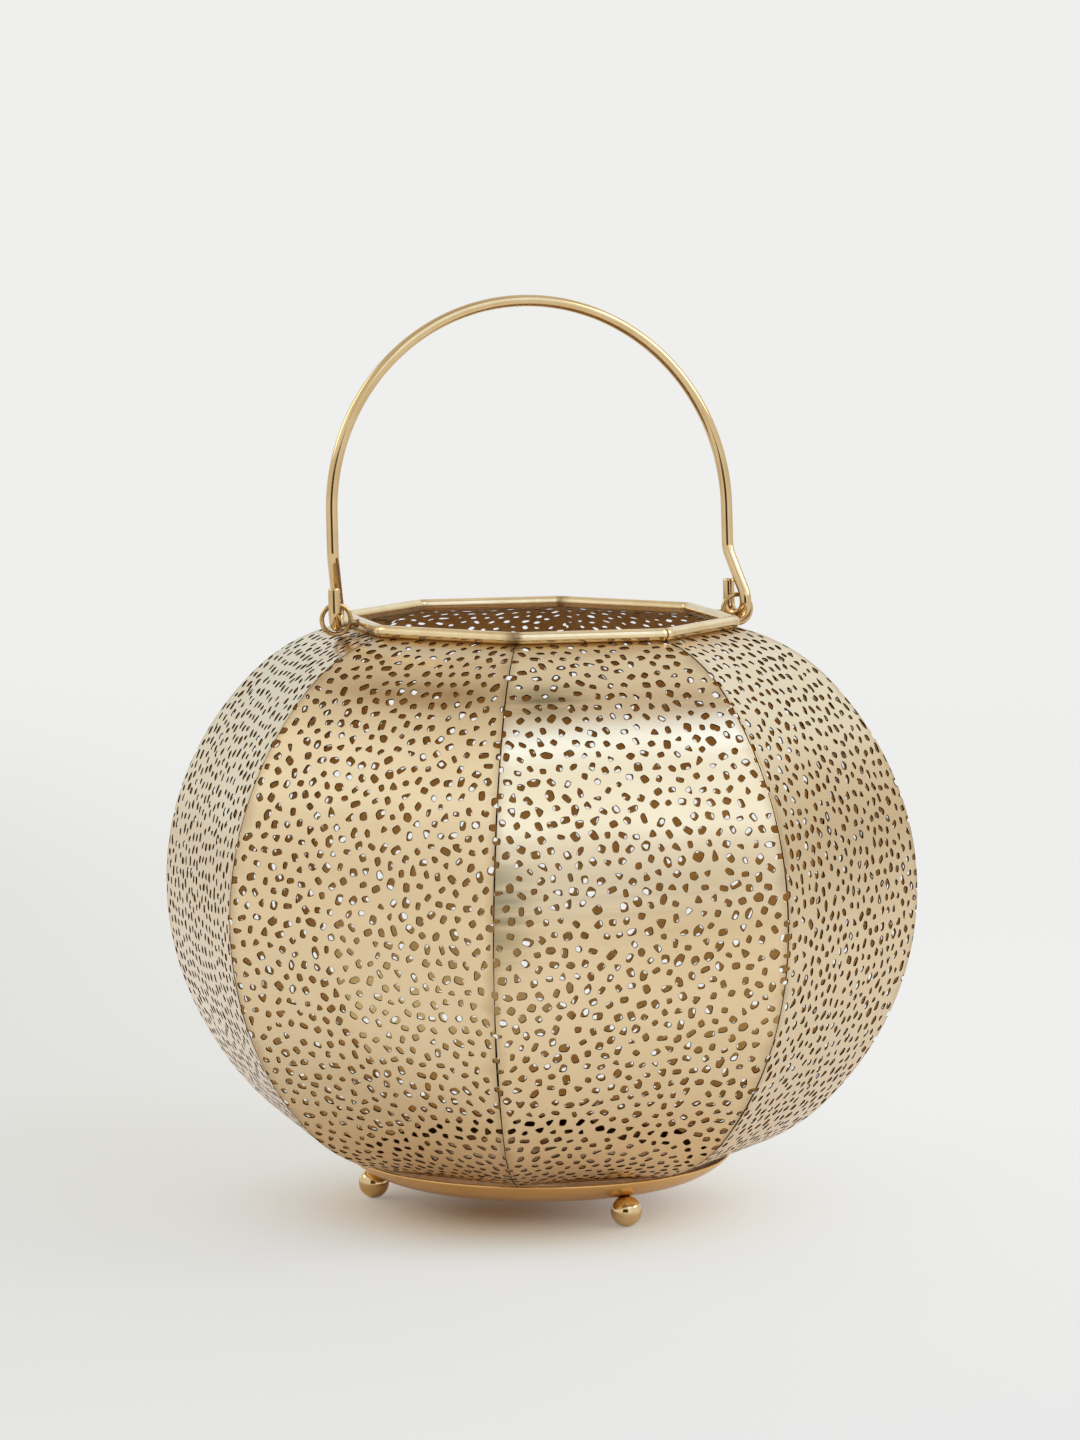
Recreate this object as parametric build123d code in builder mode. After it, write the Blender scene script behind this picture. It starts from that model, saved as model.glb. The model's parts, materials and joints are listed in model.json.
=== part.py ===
"""Hanging lantern: pierced sheet-brass gores between a beaded rim and a footed dish, with a swinging bail."""

import os
from math import acos, atan2, cos, degrees, radians, sin, sqrt, tan
from random import Random

from build123d import *

# Bulb: flat gores, curved one way only. Radii are to the outside of the sheet at the middle of a flat.
gore_count = 8
sheet_thickness = 0.7
belly_radius = 120.0
belly_arc_radius = 108.0
belly_arc_half_angle = 43.0
belly_rise = 91.6  # from the lip of the dish up to the widest level
seat_depth = 0.35  # how far the lip and the rim rods bite into the sheet
gore_tuck = 4.0  # how far a gore runs on past the lip, into the dish
gore_hem = 1.0  # how far it runs on past the middle of its rim rod

# Piercing: many-sided holes on a loose triangular net, about twice as coarse as the real one and as open
pierce_pitch = 12.4
pierce_radius_low = 3.0
pierce_radius_high = 4.0
pierce_sides = (4, 5, 6)
pierce_wander = 0.8
pierce_web = 1.5  # least metal between a hole and an edge of the gore
pierce_seed = 7

# Rim: straight rods mitred at the corners
rim_radius = 62.1
rim_rise = 183.6  # from the lip of the dish up to the middle of the rods
rim_rod_diameter = 4.2

# Dish: flat floor with a rounded wall, standing on three balls
dish_edge_radius = 66.0
dish_floor_radius = 48.0
dish_depth = 7.45  # from the floor up to the edge, measured outside
dish_thickness = 0.9

# Feet: bored balls, each held by a round-headed screw from inside the dish
foot_count = 3
foot_circle_radius = 57.0
foot_first_angle = 45.0
ball_diameter = 10.5
ball_seat_depth = 0.3
screw_diameter = 3.0
screw_length = 7.0  # under the head
screw_head_diameter = 6.0
screw_head_height = 1.8
screw_head_rounding = 0.9
screw_slot_width = 0.8
screw_slot_depth = 0.8
screw_clearance = 0.15  # round the screw, in its hole through the dish

# Rings that carry the bail, each on a short stem brazed to the outside of the left or right rod
ring_wire_diameter = 1.6
ring_radius = 5.0
ring_shoulder_gap = 0.2  # between the ring and the gore below it
ring_stem_diameter = 2.2
ring_stem_length = 1.4  # that shows between the rod and the ring

# Bail: one bent wire with a hook at each end. Heights on a hook are above the middle of its ring.
bail_wire_diameter = 4.0
bail_top_rise = 102.0  # from the hinge line to the middle of the wire at the top
bail_lean = 5.5  # degrees that it leans back as it stands
hook_radius = 4.4
hook_turn = 22.0  # degrees that a hook is turned out of the fore-and-aft plane
hook_clearance = 0.3  # between the hook and the bottom of its ring
hook_tip_rise = 10.7
hook_neck_low = 5.0  # the leg starts to slant here
hook_neck_high = 21.0  # and is back in line with the tip here
hook_bend_radius = 9.0
hook_tip_chamfer = 0.4

# Levels and places that follow from the sizes above
half_side = 180 / gore_count
ball_radius = ball_diameter / 2
rod_radius = rim_rod_diameter / 2
foot_offset = foot_circle_radius - dish_floor_radius
dish_flare = dish_edge_radius - dish_floor_radius
dish_wall_radius = (dish_flare**2 + dish_depth**2) / (2 * dish_depth)
wall_to_ball = dish_wall_radius + ball_radius - ball_seat_depth
wall_centre_height = ball_radius + sqrt(wall_to_ball**2 - foot_offset**2)
wall_angle = 2 * degrees(atan2(dish_depth, dish_flare))
dish_under_height = wall_centre_height - dish_wall_radius
dish_inner_wall_radius = dish_wall_radius - dish_thickness
lip_height = wall_centre_height - dish_inner_wall_radius * cos(radians(wall_angle))
lip_radius = dish_floor_radius + dish_inner_wall_radius * sin(radians(wall_angle))
belly_height = lip_height + belly_rise
rim_height = lip_height + rim_rise
stem_reach = rod_radius + ring_stem_length + ring_wire_diameter / 2
ring_reach = stem_reach + ring_radius

os.makedirs("parts", exist_ok=True)


def write(piece, node):
    """Label a finished piece and write its file."""
    piece.label = node
    export_step(piece, f"parts/{node}.step")


def seam_plane(side):
    """Upright plane through the axis, along the left (+1) or right (-1) edge of the gore that faces +X."""
    return Plane(origin=(0, 0, 0), z_dir=(-sin(radians(half_side)), side * cos(radians(half_side)), 0))


def trim_to_seams():
    """Cut the part under way to one side of the bulb, with mitred ends."""
    for side in (1, -1):
        split(bisect_by=seam_plane(side), keep=Keep.BOTTOM)


# Dish, holed for the foot screws. Each foot stands square to the wall above it.
wall_centre = Vector(dish_floor_radius, 0, wall_centre_height)
foot_axis = Vector(foot_offset, 0, ball_radius - wall_centre_height).normalized()
foot_angles = [foot_first_angle + 360 * n / foot_count for n in range(foot_count)]


def foot_plane(angle):
    """Plane on the inside of the dish over a foot, facing into the dish."""
    seat = wall_centre + foot_axis * dish_inner_wall_radius
    return Plane(origin=seat.rotate(Axis.Z, angle), z_dir=-foot_axis.rotate(Axis.Z, angle))


with BuildPart() as base_dish:
    with BuildSketch(Plane.XZ):
        with BuildLine():
            Line((0, dish_under_height), (dish_floor_radius, dish_under_height))
            CenterArc((dish_floor_radius, wall_centre_height), dish_wall_radius, -90, wall_angle)
            offset(amount=dish_thickness, side=Side.LEFT)
        make_face()
    revolve(axis=Axis.Z)
    for angle in foot_angles:
        with BuildSketch(foot_plane(angle)):
            Circle(screw_diameter / 2 + screw_clearance)
    extrude(amount=2 * dish_thickness, both=True, mode=Mode.SUBTRACT)
write(base_dish.part, "base_dish")

# Feet: a ball bored for its screw, and the screw with its slotted head inside the dish
for number, angle in enumerate(foot_angles, 1):
    seat = foot_plane(angle)
    with BuildPart() as foot_screw:
        with BuildSketch(seat):
            Circle(screw_head_diameter / 2)
        extrude(amount=screw_head_height)
        fillet(foot_screw.faces().sort_by(Axis(seat.origin, seat.z_dir))[-1].edges(), screw_head_rounding)
        with BuildSketch(seat.offset(screw_head_height)):
            Rectangle(screw_slot_width, 2 * screw_head_diameter)
        extrude(amount=-screw_slot_depth, mode=Mode.SUBTRACT)
        add(base_dish.part, mode=Mode.SUBTRACT)
        with BuildSketch(seat):
            Circle(screw_diameter / 2)
        extrude(amount=-screw_length)
    write(foot_screw.part, f"foot_screw_{number}")

    with BuildPart(seat.offset(dish_inner_wall_radius - wall_to_ball)) as foot_ball:
        Sphere(ball_radius)
        with BuildSketch(seat):
            Circle(screw_diameter / 2)
        extrude(amount=-screw_length, mode=Mode.SUBTRACT)
        add(base_dish.part, mode=Mode.SUBTRACT)
    write(foot_ball.part, f"foot_ball_{number}")

# Rim: one rod, turned round the axis
with BuildPart() as rim_rod:
    with BuildSketch(Plane.XZ):
        with Locations((rim_radius, rim_height)):
            Circle(rod_radius)
    extrude(amount=rim_radius, both=True)
    trim_to_seams()
for number in range(gore_count):
    write(rim_rod.part.rotate(Axis.Z, 2 * half_side * number), f"rim_rod_{number + 1}")

# Gore: three arcs in one smooth run, from inside the dish up to the underside of the rim
belly_centre = (belly_radius - belly_arc_radius, belly_height)
gore_foot = (lip_radius * cos(radians(half_side)), lip_height + sheet_thickness - seat_depth)
gore_top = (rim_radius, rim_height - rod_radius + seat_depth)
with BuildLine() as gore_curve:
    belly = CenterArc(belly_centre, belly_arc_radius, -belly_arc_half_angle, 2 * belly_arc_half_angle)
    shoulder = TangentArc(belly @ 1, gore_top, tangent=belly % 1)
    flank = TangentArc(belly @ 0, gore_foot, tangent=-(belly % 0))
    Line(shoulder @ 1, shoulder @ 1 + (shoulder % 1) * gore_hem)
    Line(flank @ 1, flank @ 1 + (flank % 1) * gore_tuck)
curve = gore_curve.wires()[0]


def pierced_rows():
    """Rows of holes up the gore: a plane on the sheet for each row, and the holes that lie along it."""
    draw = Random(pierce_seed)
    margin = pierce_radius_high + pierce_wander + pierce_web
    low, high = gore_tuck + margin, curve.length - gore_hem - rod_radius - margin
    row_count = int((high - low) / (pierce_pitch * sin(radians(60))))
    for row in range(row_count + 1):
        share = (low + (high - low) * row / row_count) / curve.length
        spot, run = curve @ share, curve % share
        plane = Plane(origin=(spot.X, 0, spot.Y), x_dir=(0, 1, 0), z_dir=(run.Y, 0, -run.X))
        half_width = spot.X * tan(radians(half_side)) - margin
        across = int(2 * half_width / pierce_pitch - row % 2 / 2)
        holes = []
        for step in range(across + 1):
            centre = (
                (step - across / 2) * pierce_pitch + draw.uniform(-pierce_wander, pierce_wander),
                draw.uniform(-pierce_wander, pierce_wander),
            )
            radius = draw.uniform(pierce_radius_low, pierce_radius_high)
            holes.append((centre, radius, draw.choice(pierce_sides), draw.uniform(0, 360)))
        yield plane, holes


with BuildPart() as gore:
    with BuildSketch(Plane.XZ):
        with BuildLine():
            add(gore_curve.line)
            offset(amount=sheet_thickness, side=Side.RIGHT)
        make_face()
    extrude(amount=belly_radius * tan(radians(half_side)) + sheet_thickness, both=True)
    trim_to_seams()
    add(base_dish.part, mode=Mode.SUBTRACT)
    add(rim_rod.part, mode=Mode.SUBTRACT)
    for plane, holes in pierced_rows():
        with BuildSketch(plane):
            for centre, radius, sides, turn in holes:
                with Locations(centre):
                    RegularPolygon(radius, sides, rotation=turn)
    extrude(amount=2 * sheet_thickness, both=True, mode=Mode.SUBTRACT, clean=False)
for number in range(gore_count):
    write(gore.part.rotate(Axis.Z, 2 * half_side * number), f"gore_panel_{number + 1}")

# Place of the rings: out from the rod by the stem, and just clear of the shoulder of the gore below
rod_spot = Vector(rim_radius, rim_height)
to_shoulder = shoulder.arc_center - rod_spot
bulge = 1 if (shoulder % 0).cross(shoulder % 1).Z > 0 else -1  # -1 where the shoulder is hollow
ring_clear = shoulder.radius + bulge * (ring_radius + ring_wire_diameter / 2 + ring_shoulder_gap)
turn_share = (to_shoulder.length**2 + ring_reach**2 - ring_clear**2) / (2 * to_shoulder.length * ring_reach)
stem_turn = bulge * degrees(acos(turn_share))
ring_spot = rod_spot + to_shoulder.normalized().rotate(Axis.Z, stem_turn) * ring_reach
ring_x, ring_height = ring_spot.X, ring_spot.Y
hinge_height = ring_height + ring_radius

# Rings: the stem is shaped to the rod, and ends in the middle of the ring's wire
ring_middle = Vector(ring_x, 0, ring_height)
rod_middle = Vector(rim_radius, 0, rim_height)
with BuildPart() as bail_ring:
    with Locations(ring_middle):
        Torus(ring_radius, ring_wire_diameter / 2, rotation=(90, 0, 0))
    with BuildSketch(Plane(origin=rod_middle, z_dir=ring_middle - rod_middle)):
        Circle(ring_stem_diameter / 2)
    extrude(amount=stem_reach)
    add(rim_rod.part, mode=Mode.SUBTRACT)
write(bail_ring.part.rotate(Axis.Z, 180), "bail_ring_left")
write(bail_ring.part, "bail_ring_right")

# Bail: each leg comes down in line with its hook's tip, slants across, and turns up again through the ring
tip_offset = Vector(-sin(radians(hook_turn)), cos(radians(hook_turn)), 0) * hook_radius
arch_radius = sqrt(ring_x**2 + tip_offset.Y**2)
arch_height = hinge_height + bail_top_rise - arch_radius
turn_height = hook_clearance + bail_wire_diameter / 2 + hook_radius - ring_radius + ring_wire_diameter / 2


def hook_plane(side):
    """Upright plane of the hook on the right (+1) or left (-1): x from the tip to the leg, y upwards."""
    across = Vector(-tip_offset.X, -side * tip_offset.Y, 0)
    return Plane(origin=(side * ring_x, 0, ring_height), x_dir=across, z_dir=across.cross(Vector(0, 0, 1)))


def hook(side):
    """Centre line of one end of the bail, from the tip to the top of the leg."""
    with BuildLine(hook_plane(side)) as line:
        Line((-hook_radius, hook_tip_rise), (-hook_radius, turn_height))
        CenterArc((0, turn_height), hook_radius, 180, 180)
        FilletPolyline(
            (hook_radius, turn_height),
            (hook_radius, hook_neck_low),
            (-hook_radius, hook_neck_high),
            (-hook_radius, arch_height - ring_height),
            radius=hook_bend_radius,
        )
    return line


left_to_right = Vector(ring_x, tip_offset.Y, 0)
arch_middle = Vector(tip_offset.X, 0, arch_height)
arch_plane = Plane(origin=arch_middle, x_dir=left_to_right, z_dir=left_to_right.cross(Vector(0, 0, 1)))
with BuildLine(arch_plane) as arch:
    CenterArc((0, 0), arch_radius, 0, 180)
bail_path = Wire(hook(1).edges() + arch.edges() + hook(-1).edges())
hinge_line = Axis((0, 0, hinge_height), (1, 0, 0))

with BuildPart() as bail:
    with BuildSketch(Plane(origin=bail_path @ 0, z_dir=bail_path % 0)):
        Circle(bail_wire_diameter / 2)
    sweep(path=bail_path)
    chamfer(bail.faces().filter_by(GeomType.PLANE).edges(), hook_tip_chamfer)
write(bail.part.rotate(hinge_line, -bail_lean), "bail")
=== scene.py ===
"""Hanging lantern: pierced brass gores, a round rim, a spun dish on ball feet and a wire bail."""

import json
from math import atan2, ceil, cos, hypot, pi, radians, sin, sqrt, tan
from random import Random

import bpy
import numpy as np
from mathutils import Matrix, Vector
from mathutils.geometry import delaunay_2d_cdt


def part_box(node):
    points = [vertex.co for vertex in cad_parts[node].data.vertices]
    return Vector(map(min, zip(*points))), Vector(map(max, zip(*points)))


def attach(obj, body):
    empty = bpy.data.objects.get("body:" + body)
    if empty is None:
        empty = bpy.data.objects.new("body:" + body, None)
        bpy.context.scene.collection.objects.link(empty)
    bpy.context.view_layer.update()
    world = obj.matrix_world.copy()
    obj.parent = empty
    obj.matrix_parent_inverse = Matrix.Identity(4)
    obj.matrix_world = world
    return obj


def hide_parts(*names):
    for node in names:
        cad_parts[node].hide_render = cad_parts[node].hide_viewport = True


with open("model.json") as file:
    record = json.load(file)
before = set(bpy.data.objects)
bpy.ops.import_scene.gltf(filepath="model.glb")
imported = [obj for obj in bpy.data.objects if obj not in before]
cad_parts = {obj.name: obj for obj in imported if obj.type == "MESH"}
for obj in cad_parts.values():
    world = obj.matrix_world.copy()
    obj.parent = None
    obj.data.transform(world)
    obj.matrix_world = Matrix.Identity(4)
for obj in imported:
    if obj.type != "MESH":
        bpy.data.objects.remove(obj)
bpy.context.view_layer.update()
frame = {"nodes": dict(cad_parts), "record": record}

mm = 0.001

# Sizes that the frame gives
rod_low, rod_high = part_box("rim_rod_1")
rod_radius = (rod_high[2] - rod_low[2]) / 2
rim_radius = rod_high[0] - rod_radius
rim_height = rod_high[2] - rod_radius
dish_low, dish_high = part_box("base_dish")
dish_under = dish_low[2]
dish_edge_radius = dish_high[0]
belly_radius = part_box("gore_panel_1")[1][0]
hinge_height = frame["record"]["behaviour"]["joints"][0]["pos_m"][2]

# Gores: the same curve as the solids, from the lip of the dish up to the rim
gore_count = 8
gore_seed = 40
brush_shift = (0.37, 0.21)
half_side = pi / gore_count
sheet_thickness = 0.7 * mm
skin = 0.35 * mm
belly_arc_radius = 108.0 * mm
belly_half_angle = radians(43.0)
rim_rise = 183.6 * mm
belly_rise = 91.6 * mm
seat_depth = 0.35 * mm
gore_tuck = 4.0 * mm
gore_hem = 1.0 * mm

# Piercing: its loose net, which is evened out in a few rounds
pierce_pitch = 5.25 * mm
pierce_wander = 0.4
pierce_rounds = 3
pierce_apart = 0.93
pierce_ease = 0.4
pierce_neighbours = 4
fine_share = 0.7
fine_reach = 32.0 * mm
first_row = 1.9 * mm
last_row = 2.6 * mm

# Piercing: the single holes, and how near they come to each other
pierce_share = (0.245, 0.388)
pierce_stretch = 1.75
hole_corners = (3, 4, 4, 4, 4, 4, 5)
three_corner_gain = 1.1
corner_wander = 0.11
corner_reach = (0.84, 1.16)
corner_cuts = (0.18, 0.30)
hole_shrinks = (1.0, 0.85, 0.7)
pierce_web = 0.4 * mm
pierce_roll = 0.16 * mm
pierce_sink = 0.08 * mm
roll_tilt = radians(50)
recent_holes = 80
net_tolerance = 0.0001 * mm

# Piercing: the bites that a seam takes out of holes
nibble_reach = 1.5 * mm
nibble_size = 1.2 * mm
nibble_least = 0.7 * mm
nibble_shares = (-1, -0.88, -0.6, -0.2, 0.2, 0.6, 0.88, 1)
nibble_depths = np.sqrt(1 - np.array(nibble_shares) ** 4)

# Seams, counted from the one at -22.5 degrees on
seam_gaps = [gap * mm for gap in (0.36, 0.3, 0.42, 0.33, 0.4, 0.33, 0.42, 0.5)]
edge_step = 2.4 * mm
edge_roll = 0.15 * mm
edge_sink = 0.06 * mm
edge_tilt = radians(40)
edge_waves = 3
edge_wave_rates = (30, 160)
edge_mean, edge_swing = 0.65, 0.35

# Tarnish on the gores, with painted shade in it towards the rim and the foot: how far it reaches,
# and the power by which it fades
seam_soil, seam_fade, seam_level = 3.2 * mm, 1.6, 0.75
foot_tarnish_and_shade, foot_fade = 9 * mm, 1.5
rim_tarnish_and_shade, rim_fade = 12 * mm, 1.2
end_tarnish_and_shade = 1 * mm
# Rosy painted reflection of the floor: how far up from the foot it reaches
rosy_reflection_reach = 75 * mm

# Painted dark reflections, smoky in colour: gore, place across and along it, half width, half
# height, strength
painted_dark_reflections = [
    (7, -24.0 * mm, 199.0 * mm, 13.0 * mm, 6.0 * mm, 1.0),
    (7, 26.0 * mm, 196.0 * mm, 11.0 * mm, 4.5 * mm, 0.3),
    (7, -47.0 * mm, 127.0 * mm, 9.0 * mm, 17.0 * mm, 0.8),
    (7, 0.0 * mm, 128.0 * mm, 52.0 * mm, 13.0 * mm, 0.2),
]
# Brown marks, partly stains and partly painted reflections: gore, place across and along it, half
# width, half height, strength
stains_and_painted_reflections = [
    (6, 8.0 * mm, 199.5 * mm, 34.0 * mm, 6.0 * mm, 1.25),
    (8, 0.0 * mm, 143.0 * mm, 60.0 * mm, 11.0 * mm, 0.2),
    (2, -8.0 * mm, 197.0 * mm, 26.0 * mm, 6.0 * mm, 0.6),
    (4, 12.0 * mm, 201.0 * mm, 22.0 * mm, 5.0 * mm, 0.5),
]

# Rim: one corner stands open, the others are brazed and burnt brown
rim_bend = 6.0 * mm
rim_bend_steps = 10
rim_shares = (0, 0.3, 0.55, 0.7, 0.8, 0.88, 0.95)
open_corner = 7
open_reach, open_pinch = 0.45 * mm, 0.1
swell_middle, swell_reach, swell_gain = 1.3 * mm, 0.8 * mm, 0.05
kink_reach, kink_pinch = 2.2 * mm, 0.03
corner_burns = {1: 0.25, 2: 0.6, 3: 0.45, 4: 0.2, 5: 0.15, 6: 0.7, 8: 0.2}
burn_before, burn_after = 5.0 * mm, 2.0 * mm

# Dish: a flat floor and a wall of one arc
dish_floor_radius = 48.0 * mm
dish_depth = 7.45 * mm
dish_thickness = 0.9 * mm
dish_floor_rings = (0, 12 * mm, 24 * mm, 36 * mm)
dish_wall_steps = 24
dish_sides = 192
# Brown painted shade on the dish's inner wall below the lip, where the gores' feet shade it, and
# lighter on its inner floor
dish_wall_shade, dish_floor_shade = 0.9, 0.4
lip_steps = 8
lip_start = 0.012
lip_trim = 0.25
dish_flare = dish_edge_radius - dish_floor_radius
dish_wall = (dish_flare**2 + dish_depth**2) / (2 * dish_depth)
dish_lean = 2 * atan2(dish_depth, dish_flare)

# Feet
foot_count = 3
ball_rows = 40
ball_sides = 64
# Brown painted shade on top of each ball, where it meets the dish: from this share of its radius up
ball_shade_start = 0.86

# Rings and bail
wire_sides = 28
ring_radius = 5.0 * mm
ring_wire = 1.6 * mm
ring_steps, ring_sides = 72, 20
ring_soil = 0.5
stem_waist = 2.2 * mm
bail_wire = 4.0 * mm
bail_top_rise = 102.0 * mm
bail_lean = radians(5.5)
arch_steps = 96
hook_radius = 4.4 * mm
hook_steps = 28
hook_turn = radians(22.0)
hook_clearance = 0.3 * mm
hook_tip_rise = 10.7 * mm
hook_tip_steps = 3
hook_neck_low = 5.0 * mm
hook_neck_high = 21.0 * mm
hook_bend_radius = 9.0 * mm
hook_bend_steps = 10
# Rounded ends of the bail: distance from the end and thickness there, as shares of its thickness
wire_ends = ((0.0, 0.72), (0.04, 0.86), (0.11, 0.96), (0.2, 1.0))

ring_outer = ring_radius + ring_wire / 2
ring_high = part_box("bail_ring_right")[1]
ring_x = ring_high[0] - ring_outer
ring_height = ring_high[2] - ring_outer

# Brass of the gores; the rosy one is a painted reflection of the floor near the foot
pale_brass = (0.78, 0.605, 0.37)
warm_brass = (0.73, 0.53, 0.285)
rosy_reflection_brass = (0.74, 0.49, 0.25)
brown_brass = (0.37, 0.225, 0.095)
grey_brass = (0.70, 0.60, 0.43)
# Smoky brass for the painted dark reflections
dark_reflection_brass = (0.30, 0.245, 0.135)
# Near black for dirt and painted shade in the seam gaps
grime = (0.035, 0.024, 0.014)

# Brass of the other pieces, bright and dull, and brown: in the hollows of the wires, and as painted
# shade on top of the balls; the inside of the gores is a darker, browner brass as painted shade
shaded_inside_brass = (0.735, 0.48, 0.175), (0.67, 0.42, 0.14)
rim_brass = (0.81, 0.63, 0.36), (0.72, 0.53, 0.28)
ring_brass = (0.59, 0.40, 0.175), (0.49, 0.32, 0.13)
bail_brass = (0.69, 0.50, 0.258), (0.625, 0.435, 0.21)
dish_brass = (0.83, 0.53, 0.22), (0.75, 0.46, 0.175)
ball_brass = (0.73, 0.55, 0.30), (0.67, 0.475, 0.24)
screw_brass = (0.66, 0.50, 0.28), (0.50, 0.36, 0.19)
wire_brown = (0.20, 0.12, 0.055)
ball_shade_brown = (0.22, 0.13, 0.06)
rim_roughness, ring_roughness, bail_roughness = 0.15, 0.17, 0.07

# Lines that work leaves in the metal: their scales across and along a piece, and depths
fine_brush, broad_brush = (30, 2600), (9, 170)
drawn_lines, spun_lines = (40, 60), (3, 1800)
dent_depth, drawn_depth, spun_depth = 0.5 * mm, 0.01 * mm, 0.015 * mm

# Floor: its own colour, with a painted warm bounce round the foot; what shows of it plainly, with
# painted shadow to the left and painted light to the right; and what polished metal shows of it,
# painted lighter in front
background = (0.865, 0.863, 0.855)
floor_colour = (0.87, 0.865, 0.855)
# Painted warm bounce light: the floor's own colour round the foot
painted_warm_bounce = (0.92, 0.84, 0.66)
# Painted shadow on the left and painted light on the right of what shows of the floor plainly round
# the foot, with its own colour for the near part
left_floor_painted_shadow = (0.729, 0.723, 0.684)
right_floor_painted_light = (0.846, 0.848, 0.827)
near_floor = (0.79, 0.778, 0.771)
# Painted light: what metal shows of the floor is lighter in front than at the sides
mirrored_front = (0.95, 0.955, 0.955)
mirrored_side = (0.80, 0.805, 0.81)
floor_rings = (0.3, 0.8, 1.6, 3.0, 12.0)
floor_sides = 64

# Floor: the shade round the foot, which gives way to the plain colour away from a middle
seen_middle, seen_reach = (-0.022, -0.021, 0), (0.0, 0.123)
seen_shares = (0.02, 0.78, 0.2)
mirrored_middle, mirrored_reach = (-0.058, 0.017, 0), (0.045, 0.24)
mirrored_shares = (0.02, 0.5, 0.48)
fade_reach = (0.3, 1.4)
background_reach = (0.5, 2.2)
warm_bounce_reach = (0.05, 0.13)
left_to_right = (-0.15, 0.2)
near_to_beside = (-0.45, -0.05)
mirrored_front_to_side = (-0.35, 0.05)

# Card that polished metal picks up as a dark line
card_colour = (0.08, 0.045, 0.015)
card_azimuth = 247.5
card_distance = 2.3
card_width = 1.60
card_height = 1.05

# Room: its light low down and overhead, with brighter and dimmer parts, which are given by
# azimuth, elevation, half angles of their core and edge, and gain
sky_range = (0.45, 1.0)
low_sky = (0.90, 0.91, 0.915)
high_sky = (0.66, 0.615, 0.56)
glows = [
    (40, 67, 9, 21, (0.16, 0.22, 0.30)),
    (286, 15, 8, 22, (0.06, 0.13, 0.29)),
    (172, 53, 8, 20, (0.06, 0.09, 0.12)),
    (192, 28, 8, 18, (0.05, 0.08, 0.12)),
    (38, 28, 8, 22, (0.06, 0.18, 0.32)),
    (18, 3, 9, 19, (-0.14, -0.16, -0.19)),
    (95, 27, 10, 26, (-0.08, -0.05, -0.02)),
    (106, 4, 14, 30, (-0.03, 0.03, 0.07)),
]

# Soft lamps: name, azimuth, elevation, distance, width, height, radiance and colour
lamp_target = (0, 0, 0.11)
lamps = [
    ("front_softbox", 288, 43, 2.0, 1.5, 1.3, 0.55, (0.6, 1.0, 1.65)),
    ("front_strip", 298, 59, 2.0, 1.2, 0.38, 0.62, (0.55, 1.0, 1.95)),
    ("left_softbox", 196, 40, 2.2, 1.2, 0.9, 0.2, (0.75, 1.0, 1.3)),
    ("right_key", 337, 38, 2.2, 1.0, 1.2, 4.2, (1.0, 0.98, 0.95)),
    ("left_fill", 151, 35, 2.2, 1.0, 1.0, 2.0, (1.0, 0.99, 0.97)),
]

# Camera at the photograph's viewing angle
camera_place = (-0.489, -1.6923, 0.3684)
camera_tilt = radians(83.444)
camera_turn = radians(-16.13)
camera_film = 36
camera_lens = 129.5


# Shader maths


class Field:
    """A socket in a node tree, so that shader maths can be written as sums."""

    def __init__(self, finish, socket):
        self.finish = finish
        self.socket = socket

    def math(self, operation, *values):
        return self.finish.node("Math", {"operation": operation}, dict(enumerate(values)))

    def __add__(self, other):
        return self.math("ADD", self, other)

    def __sub__(self, other):
        return self.math("SUBTRACT", self, other)

    def __mul__(self, other):
        return self.math("MULTIPLY", self, other)

    def __rsub__(self, other):
        return self.math("SUBTRACT", other, self)

    __radd__ = __add__
    __rmul__ = __mul__

    def clamp(self):
        return self.finish.node("Clamp", {}, {"Value": self})

    def between(self, low, high):
        """0 at low, 1 at high, smooth and held at both ends."""
        sockets = {"Value": self, "From Min": low, "From Max": high}
        return self.finish.node("MapRange", {"interpolation_type": "SMOOTHSTEP"}, sockets)


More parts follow.
